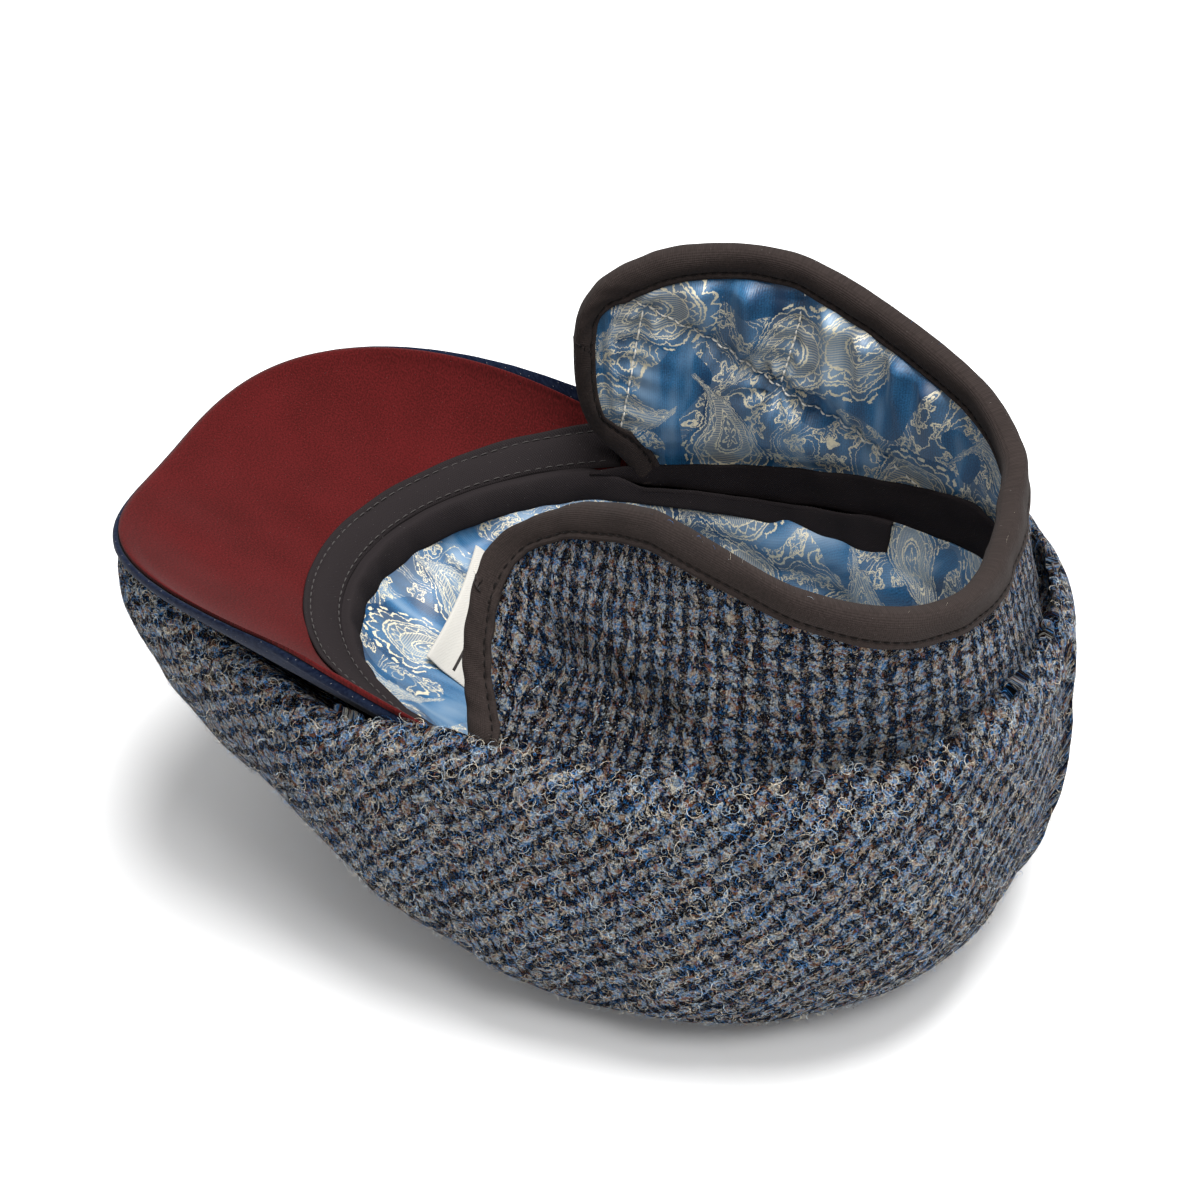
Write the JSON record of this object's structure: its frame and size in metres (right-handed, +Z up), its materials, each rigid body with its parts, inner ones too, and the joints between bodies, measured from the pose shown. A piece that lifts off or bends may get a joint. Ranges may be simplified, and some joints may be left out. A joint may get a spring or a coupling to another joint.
{
  "type": "earflap cap",
  "caption": "Tweed cap with a cloth peak and fold-down quilted earflaps, lying upside down on its crown with the head opening up.",
  "frame": {"origin": "middle of the cap in plan, on the surface that its crown lies on", "axes": "+Z up out of the head opening, -Y towards the tip of the peak, +X towards the wearer's right"},
  "size_m": [0.1972, 0.271, 0.1576],
  "materials": {
    "tweed": "woollen tweed in a small broken check, hairy",
    "lining": "satin jacquard with cream scrolls",
    "black_cotton": "plain matte cotton",
    "navy_melton": "milled wool, matte",
    "burgundy_moleskin": "short soft nap",
    "bias_binding": "plain-weave cotton cut on the bias",
    "label_weave": "bare woven satin"
  },
  "bodies": {
    "root": {"crown": "tweed", "crown_lining": "lining", "label": "label_weave", "sweatband": "black_cotton", "peak_top": "navy_melton", "peak_under": "burgundy_moleskin", "peak_facing": "black_cotton", "earflap_band": "tweed", "earflap_lining": "lining", "flap_binding": "bias_binding", "flap_tape": "black_cotton"}
  },
  "joints": []
}
